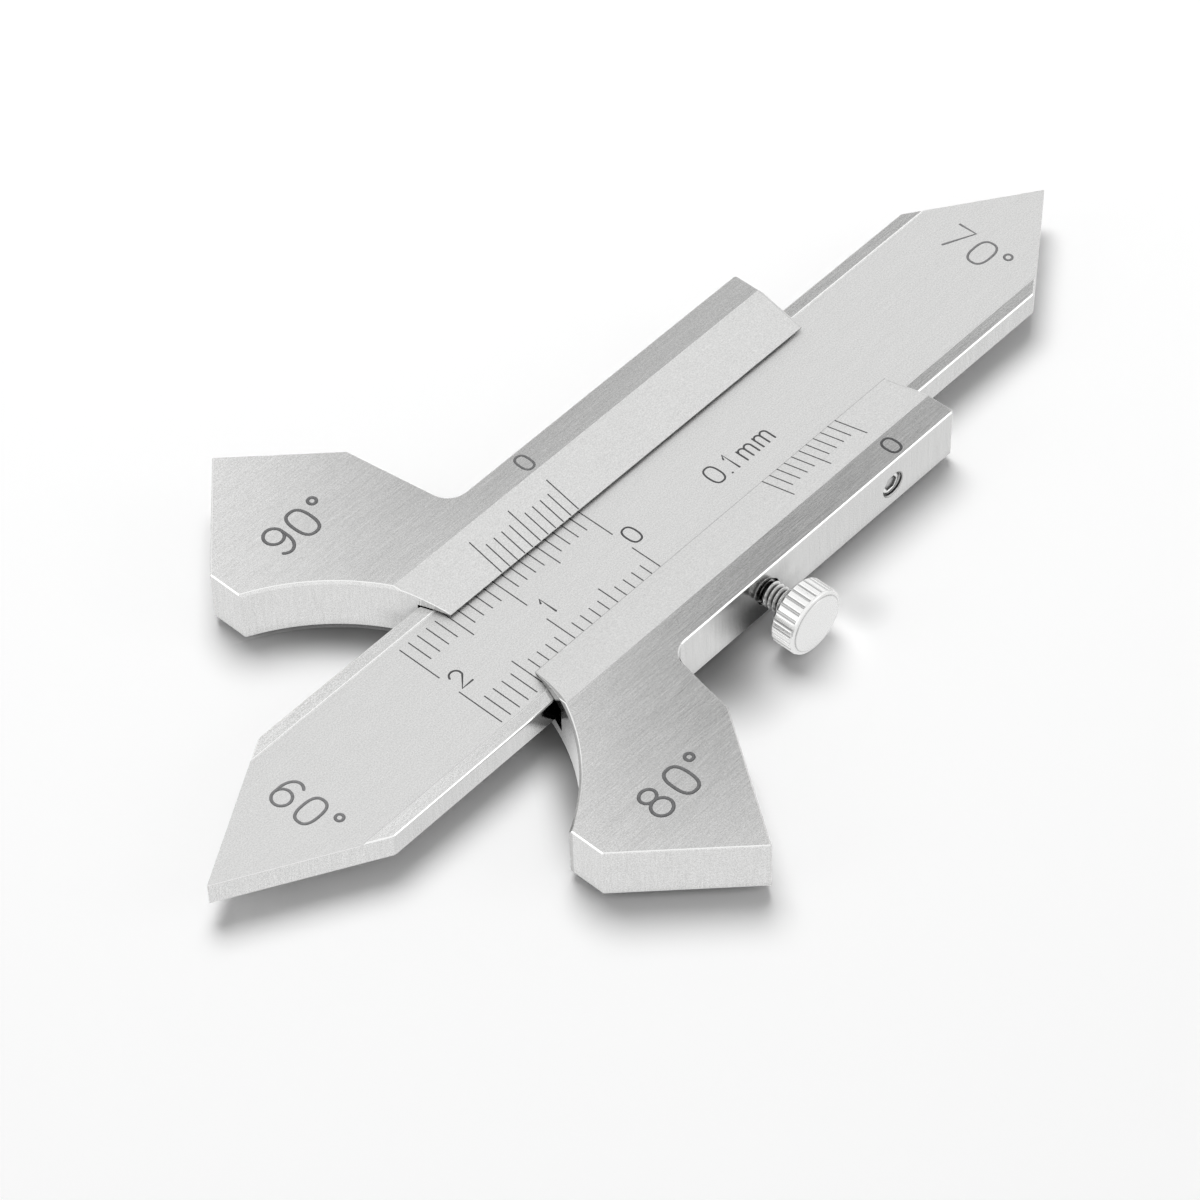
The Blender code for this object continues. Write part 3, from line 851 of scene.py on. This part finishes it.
# a six-sided socket where the zone is one, the plain or threaded profile elsewhere
def socketRule(tree, given, radius, along, zone, turn):
    sixth = mathOf(tree, "SUBTRACT", mathOf(tree, "MODULO", turn, pi / 3), pi / 6)
    wall = mathOf(tree, "DIVIDE", given["Half Across"], mathOf(tree, "COSINE", sixth))
    threaded = threadRule(tree, given, radius, along, product(tree, zone, below(tree, zone, 0.00005)), turn)
    hexed = product(tree, wall, mathOf(tree, "DIVIDE", radius, given["Half Across"]))
    either = {"Switch": above(tree, zone, 0.0005), "False": threaded, "True": hexed}
    return addNode(tree, "GeometryNodeSwitch", either, input_type="FLOAT").outputs[0]


threadSockets = [("Pitch", "NodeSocketFloat"), ("Thread Depth", "NodeSocketFloat")]
headTree, headIds = turnedForm("flutedHead", [
    ("Flutes", "NodeSocketFloat"), ("Land Radius", "NodeSocketFloat"), ("Flute Depth", "NodeSocketFloat"),
    ("Land Share", "NodeSocketFloat"), ("Root Share", "NodeSocketFloat"),
], fluteRule)
threadTree, threadIds = turnedForm("cutThread", threadSockets, threadRule)
socketTree, socketIds = turnedForm("socketScrew", threadSockets + [
    ("Half Across", "NodeSocketFloat"),
], socketRule)


def profileMesh(name, points):
    mesh = bpy.data.meshes.new(name)
    zones = [point[2] if len(point) > 2 else 0.0 for point in points]
    mesh.from_pydata([(point[0] * mm, point[1] * mm, zone) for point, zone in zip(points, zones)], [], [])
    return mesh


thumbScrew = {
    "x": 0.65,
    "z": 3.0,
    "wall": -11.7,
    "headBack": -14.4,
    "headLength": 2.5,
    "headRadius": 2.993,
    "backChamfer": 0.22,
    "ringLength": 0.44,
    "ringRadius": 2.93,
    "rimRadius": 2.74,
    "domeRadius": 2.55,
    "crown": 0.11,
    "domeProud": 0.19,
    "flutes": 26,
    "fluteDepth": 0.16,
    "landShare": 0.58,
    "rootShare": 0.16,
    "pitch": 0.45,
    "threadRadius": 1.15,
    "rootRadius": 0.88,
    "neck": 0.10,
    "tip": -8.2,
}

# painted shade in the flutes' grooves and on the head's back face, and in front in the groove around the dome
headSteel = turnedSteel("headSteel", thumbScrew, [
    {"stops": [(1.2, 0.10), (2.80, 0.10), (2.93, 0.45), (2.965, 1.0)]},
    {"before": thumbScrew["headBack"] - thumbScrew["headLength"] + thumbScrew["ringLength"],
     "stops": [(2.50, 0.9), (2.545, 0.45), (2.60, 0.35), (2.64, 0.85), (2.9, 0.95)]},
], (0.46, 0.46, 0.46), (0.95, 0.95, 0.945), (0.20, 0.32), 0.12)
# painted shade in the thread's valleys
threadSteel = turnedSteel("threadSteel", thumbScrew, [
    {"stops": [(0.88, 0.0), (0.93, 0.15), (1.01, 0.65), (1.12, 1.0)]},
], (0.06, 0.06, 0.06), (0.90, 0.90, 0.895), (0.22, 0.34), 0.08)


# the end's shallow dome, its proud edge, the ring in front of the flutes, the fluted lands, the back
def thumbHead(spec):
    back = spec["headBack"]
    end = back - spec["headLength"]
    land = spec["headRadius"]
    ring, rim, dome = spec["ringRadius"], spec["rimRadius"], spec["domeRadius"]
    flutesEnd = end + spec["ringLength"]
    shoulder = end + spec["crown"]
    front = end + spec["domeProud"]
    smooth = 1.0
    points = [(0.0, end, smooth)]
    points += [((dome - 0.07) * step / 12, end + spec["crown"] * (step / 12) ** 2, smooth)
               for step in range(1, 13)]
    points += [(dome - 0.03, shoulder + 0.015, smooth), (dome - 0.005, shoulder + 0.05, smooth),
               (dome, front - 0.02, smooth), (dome + 0.01, front + 0.01, smooth),
               (dome + 0.05, front + 0.01, smooth), (dome + 0.07, front, smooth)]
    for step in range(7):
        angle = radians(90 * step / 6)
        points.append((rim + (ring - rim) * sin(angle), front + 0.14 * (1 - cos(angle)), smooth))
    points += [(ring, flutesEnd - 0.03, smooth), (ring, flutesEnd - 0.005, smooth), (land - 0.02, flutesEnd)]
    chamfer = spec["backChamfer"]
    firstLand, lastLand = flutesEnd + 0.02, back - chamfer - 0.02
    points += [(land, firstLand + (lastLand - firstLand) * step / 10) for step in range(11)]
    points += [(land - chamfer * share, back - chamfer * (1 - share)) for share in (0.05, 0.33, 0.66, 0.95)]
    points += [(land - chamfer - 0.04, back), (1.3, back), (0.9, back), (0.0, back)]
    mesh = grown("thumbHead", headTree, headIds, {
        "Steps": 312, "Centre": mmVector(spec["x"], 0, spec["z"]), "Finish": headSteel,
        "Flutes": float(spec["flutes"]), "Land Radius": land * mm, "Flute Depth": spec["fluteDepth"] * mm,
        "Land Share": spec["landShare"], "Root Share": spec["rootShare"],
    }, profileMesh("thumbHeadProfile", points))
    cleanNormals(mesh)
    smoothBelow(mesh, 35)
    return mesh


# rings along a threaded length; the zone fades the thread at both ends and at the neck in the wall
def threadProfile(root, start, end, pitch, chamfer, neck, ringsPerPitch=12):
    points = [(0.0, start), (root - chamfer, start), (root, start + chamfer)]
    length = end - start - chamfer
    rings = max(2, round(length / pitch * ringsPerPitch))
    for step in range(rings + 1):
        along = start + chamfer + length * step / rings
        fromNeck = max(0.0, (abs(along - neck["at"]) - neck["half"]) / 0.12)
        full = min(1.0, step / ringsPerPitch, (rings - step) / 2, fromNeck)
        points.append((root, along, full * 0.001))
    points.append((0.0, end))
    return points


def threadedShank(spec):
    neck = {"at": spec["wall"] + 0.02, "half": spec["neck"]}
    points = threadProfile(spec["rootRadius"], spec["headBack"] - 0.05, spec["tip"], spec["pitch"], 0.1, neck)
    mesh = grown("thumbShank", threadTree, threadIds, {
        "Steps": 72, "Centre": mmVector(spec["x"], 0, spec["z"]), "Finish": threadSteel,
        "Pitch": spec["pitch"] * mm, "Thread Depth": (spec["threadRadius"] - spec["rootRadius"]) * mm,
    }, profileMesh("thumbShankProfile", points))
    cleanNormals(mesh)
    smoothBelow(mesh, 50)
    return mesh


shankMesh = threadedShank(thumbScrew)
thumb = joined("clampThumbScrew", [thumbHead(thumbScrew), shankMesh])
smoothBelow(thumb.data, 40)
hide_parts("thumb_screw")
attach(thumb, "clamp_screw")


gibScrew = {
    "x": 16.0,
    "z": 3.0,
    "wall": -11.7,
    "end": -11.45,
    "tip": -8.0,
    "threadRadius": 1.10,
    "rootRadius": 0.93,
    "pitch": 0.45,
    "halfAcross": 0.65,
    "socketDepth": 0.28,
    "liningRadius": 1.252,
    "liningCrest": 1.13,
    "liningDepth": 0.9,
}

# painted shade towards the roots of the lining's thread
liningSteel = turnedSteel("liningSteel", gibScrew, [
    {"stops": [(1.12, 1.0), (1.19, 0.6), (1.25, 0.2)]},
], (0.16, 0.16, 0.16), (0.74, 0.74, 0.735), (0.3, 0.4), 0.08)
# painted shade inside the hex socket and around it, with the screw's end kept light
socketSteel = turnedSteel("socketSteel", gibScrew, [
    {"stops": [(0.0, 0.60), (0.45, 0.50), (0.57, 0.18), (0.70, 0.18), (1.2, 0.5)]},
    {"before": gibScrew["end"] + 0.06, "stops": [(0.0, 1.0), (1.2, 1.0)]},
], (0.16, 0.16, 0.16), (0.92, 0.92, 0.915), (0.22, 0.34), 0.08)


def socketScrew(spec):
    end, floor = spec["end"], spec["end"] + spec["socketDepth"]
    half = spec["halfAcross"]
    hexZone = 1.0
    points = [(0.0, floor + 0.15), (0.30, floor + 0.08)]
    points += [(half * 0.9, floor, hexZone), (half * 0.94, floor - 0.02, hexZone)]
    points += [(half * (0.94 + 0.06 * share), floor + (end + 0.03 - floor) * share, hexZone)
               for share in (0.25, 0.5, 0.75, 1.0)]
    points += [(half * 1.05, end, hexZone), (0.86, end), (0.95, end + 0.02), (1.0, end + 0.06)]
    rings = 72
    length = spec["tip"] - end - 0.06
    for step in range(1, rings + 1):
        along = end + 0.06 + length * step / rings
        points.append((spec["rootRadius"], along, min(1.0, step / 8, (rings - step) / 6) * 0.00001))
    points += [(0.0, spec["tip"] + 0.1)]
    mesh = grown("gibScrew", socketTree, socketIds, {
        "Steps": 72, "Centre": mmVector(spec["x"], 0, spec["z"]), "Finish": socketSteel,
        "Pitch": spec["pitch"] * mm, "Thread Depth": (spec["threadRadius"] - spec["rootRadius"]) * mm,
        "Half Across": half * mm,
    }, profileMesh("gibScrewProfile", points))
    cleanNormals(mesh)
    smoothBelow(mesh, 35)
    return mesh


# the threaded wall of the hole in front of the set screw, a closed ring that sits in the bore
def threadedLining(spec):
    start, end = spec["wall"] + 0.01, spec["wall"] + spec["liningDepth"]
    outer, crest = spec["liningRadius"], spec["liningCrest"]
    points = [(outer, start), (outer - 0.02, start)]
    rings = 30
    for step in range(rings + 1):
        points.append((crest, start + 0.01 + (end - start - 0.02) * step / rings, 0.001))
    points += [(outer - 0.02, end), (outer, end), (outer, start)]
    mesh = grown("holeLining", threadTree, threadIds, {
        "Steps": 96, "Centre": mmVector(spec["x"], 0, spec["z"]), "Finish": liningSteel,
        "Pitch": spec["pitch"] * mm, "Thread Depth": (outer - 0.025 - crest) * mm,
    }, profileMesh("holeLiningProfile", points))
    cleanNormals(mesh)
    smoothBelow(mesh, 40)
    return mesh


lining = addObject("setScrewHoleLining", threadedLining(gibScrew))
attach(lining, "slider")

setScrew = addObject("gibSetScrew", socketScrew(gibScrew))
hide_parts("gib_set_screw")
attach(setScrew, "slider")
print("screws turned")


# a mirrored ray counts only where it comes from the camera, so no light is added by way of the steel
def directOnly(tree, rays, seen):
    return product(tree, seen, below(tree, rays["Diffuse Depth"], 0.5))


# places in millimetres beside the plate: painted shade that deepens the floor's shade, and a painted pool of
# light that softens it
floorShade = {
    "colour": (0.92, 0.92, 0.92),
    "mirrored": 0.91,
    "belowScrew": {"x": 0.1, "y": -12.1, "from": 0.8, "to": 4.6, "inside": 0.15, "outside": 1.0},
    "pocket": {"x": -6.5, "y": -13.5, "from": 0.0, "to": 7.5, "inside": 0.40, "outside": 1.0},
    "rightOfHead": {"x": 6.3, "y": -16.8, "from": 0.0, "to": 3.4, "inside": 0.80, "outside": 1.0},
    "relief": {"x": plateForm["reliefX"], "y": 0, "from": 15.7, "to": 19.7, "inside": 1.0, "outside": 0.42},
    "reliefEnd": {"x": plateForm["reliefX"], "y": 0, "from": 19.9, "to": 20.0, "inside": 1.0, "outside": 0.0},
    "paintedLightBelowHead": {"x": 1.8, "y": -17.4, "from": 0.0, "to": 4.2, "inside": 0.15, "outside": 0.0},
}


# the steel mirrors a plain white table with painted shade close to the gauge; the camera sees its soft
# shadow, with painted shade and a painted pool of light added
def whiteTable(spec):
    bpy.ops.mesh.primitive_plane_add(size=6)
    table = bpy.context.object
    table.name = "whiteTable"
    material, tree, shader = newFinish("whiteTable", spec["colour"], 0.5, metallic=0.0)
    shader.inputs["Specular IOR Level"].default_value = 0.15
    shader.inputs["Emission Color"].default_value = (1, 1, 1, 1)
    rays = addNode(tree, "ShaderNodeLightPath").outputs
    openness = addNode(tree, "ShaderNodeAmbientOcclusion", {"Distance": 3.0 * mm}, samples=6).outputs["AO"]
    place = addNode(tree, "ShaderNodeTexCoord").outputs["Object"]

    def spot(key):
        at = spec[key]
        return softStep(tree, distanceTo(tree, place, at["x"], at["y"]), at["from"] * mm, at["to"] * mm,
                        at["inside"], at["outside"])

    # painted shadow on the floor: in the relief, in the pocket beside the head and to the right of the head
    towardsFeet = softStep(tree, splitOf(tree, place)["X"], -31 * mm, -23 * mm)
    inRelief = mixed(tree, spot("reliefEnd"), 1.0, mixed(tree, towardsFeet, 1.0, spot("relief")))
    shaded = product(tree, spot("pocket"), inRelief, spot("rightOfHead"))
    tree.links.new(scaled(tree, spec["colour"], shaded), shader.inputs["Base Color"])
    # painted shade where the floor is closed in dims the camera's white lift, and a painted pool of light is
    # added below the head
    glow = product(tree, softStep(tree, openness, 0.10, 0.60, 0.02, 0.10), shaded)
    glow = mathOf(tree, "ADD", glow, spot("paintedLightBelowHead"))
    tree.links.new(product(tree, rays["Is Camera Ray"], glow), shader.inputs["Emission Strength"])

    # painted shade in what the steel mirrors: the floor is dark right below the gauge and below the screw
    nearby = softStep(tree, openness, 0.08, 0.46)  # dark only right below the gauge
    strength = product(tree, nearby, spot("belowScrew"), spec["mirrored"])
    mirrored = addNode(tree, "ShaderNodeEmission", {"Strength": strength})
    seen = directOnly(tree, rays, mathOf(tree, "MAXIMUM", rays["Is Glossy Ray"], rays["Is Transmission Ray"]))
    both = addNode(tree, "ShaderNodeMixShader", {0: seen, 1: shader.outputs[0], 2: mirrored.outputs[0]})
    tree.links.new(both.outputs[0], tree.nodes["Material Output"].inputs["Surface"])
    table.data.materials.append(material)


whiteTable(floorShade)

# what the steel mirrors: white all round, and soft grey cards where the ground faces look
surround = {
    "dimForTable": 0.26,
    "brightness": 1.02,
    "greyCards": [
        {"centre": (0.56, 0.42), "reach": (0.074, 0.096), "change": -0.66},
        {"centre": (0.49, 0.427), "reach": (0.065, 0.045), "change": -1.0},
        {"centre": (0.498, 0.50), "reach": (0.10, 0.038), "change": -0.98},
    ],
}

world = bpy.data.worlds.new("studio")
bpy.context.scene.world = world
world.use_nodes = True
sky = world.node_tree
background = sky.nodes["Background"]
direction = addNode(sky, "ShaderNodeTexCoord").outputs["Generated"]

brightness = surround["brightness"]
for card in surround["greyCards"]:
    (acrossX, acrossY), (reachX, reachY) = card["centre"], card["reach"]
    shift = {0: direction, 1: (-acrossX, -acrossY, 0)}
    fromCentre = addNode(sky, "ShaderNodeVectorMath", shift, operation="ADD").outputs[0]
    stretch = {0: fromCentre, 1: (1 / reachX, 1 / reachY, 0)}
    shares = addNode(sky, "ShaderNodeVectorMath", stretch, operation="MULTIPLY").outputs[0]
    outward = addNode(sky, "ShaderNodeVectorMath", {0: shares}, operation="LENGTH").outputs["Value"]
    brightness = mathOf(sky, "ADD", softStep(sky, outward, 0.0, 1.0, card["change"], 0.0), brightness)
skyRays = addNode(sky, "ShaderNodeLightPath").outputs
mirroredRay = mathOf(sky, "MAXIMUM", skyRays["Is Glossy Ray"], skyRays["Is Transmission Ray"])
shown = mathOf(sky, "MAXIMUM", skyRays["Is Camera Ray"], mirroredRay)
level = mixed(sky, directOnly(sky, skyRays, shown), surround["dimForTable"], brightness)
sky.links.new(level, background.inputs["Strength"])
background.inputs["Color"].default_value = (1, 1, 1, 1)


def areaLight(name, towards, distance, size, power, mirrored=True):
    lamp = bpy.data.lights.new(name, "AREA")
    lamp.energy = power
    lamp.shape = "DISK"
    lamp.size = size
    thing = addObject(name, lamp)
    spot = Vector(towards).normalized()
    thing.location = spot * distance
    thing.rotation_euler = spot.to_track_quat("Z", "Y").to_euler()
    thing.visible_glossy = mirrored


areaLight("keyFromAbove", (0.25, 0.36, 0.90), 0.9, 0.62, 6.6, mirrored=False)
areaLight("stripRight", (0.50, -0.73, 0.45), 0.9, 0.46, 0.35)
areaLight("stripLeft", (-0.75, 0.45, 0.47), 0.9, 0.40, 0.25)

shot = {
    "lens": 133.896,
    "place": (-0.176616, -0.163102, 0.269555),
    "turn": (41.07201, 1.17013, -47.55233),
}
camera = bpy.data.cameras.new("photoView")
camera.lens = shot["lens"]
camera.sensor_width = 36
camera.clip_start = 0.01
camera.clip_end = 20
photoView = addObject("photoView", camera)
photoView.location = shot["place"]
photoView.rotation_euler = Euler([radians(value) for value in shot["turn"]])
bpy.context.scene.camera = photoView
bpy.context.scene.view_settings.view_transform = "Standard"
print("light and camera set")
